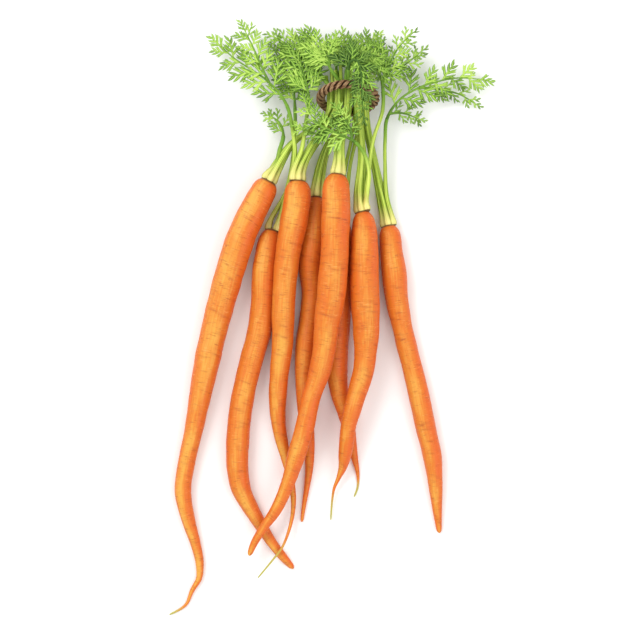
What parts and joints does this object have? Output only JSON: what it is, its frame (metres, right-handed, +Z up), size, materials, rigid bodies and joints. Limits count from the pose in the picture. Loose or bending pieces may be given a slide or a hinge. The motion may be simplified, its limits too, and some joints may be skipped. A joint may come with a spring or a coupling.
{
  "type": "bunch of carrots",
  "caption": "Bunch of slender carrots lying down, with tapering roots, leaf stalks held together by a cord tie, and feathery leaves spread round the tie.",
  "frame": {"origin": "middle of the bunch's footprint, on the surface that it lies on", "axes": "+Y from the root tips towards the leaves, +Z up from the surface, +X to the right seen from above"},
  "size_m": [0.197, 0.3582, 0.0334],
  "materials": {
    "root": "satin skin",
    "stalk": "satin",
    "leaf": "matte",
    "cord": "twisted fibre"
  },
  "bodies": {
    "root": {"carrot_1": "root", "carrot_2": "root", "carrot_3": "root", "carrot_4": "root", "carrot_5": "root", "carrot_6": "root", "carrot_7": "root", "carrot_8": "root", "stalks_1": "stalk", "stalks_2": "stalk", "stalks_3": "stalk", "stalks_4": "stalk", "stalks_5": "stalk", "stalks_6": "stalk", "stalks_7": "stalk", "stalks_8": "stalk", "tie_cord": "cord", "frond_1": "leaf", "frond_2": "leaf", "frond_3": "leaf", "frond_4": "leaf", "frond_5": "leaf", "frond_6": "leaf", "frond_7": "leaf", "frond_8": "leaf", "frond_9": "leaf", "frond_10": "leaf", "frond_11": "leaf", "frond_12": "leaf", "frond_13": "leaf", "frond_14": "leaf"}
  },
  "joints": []
}
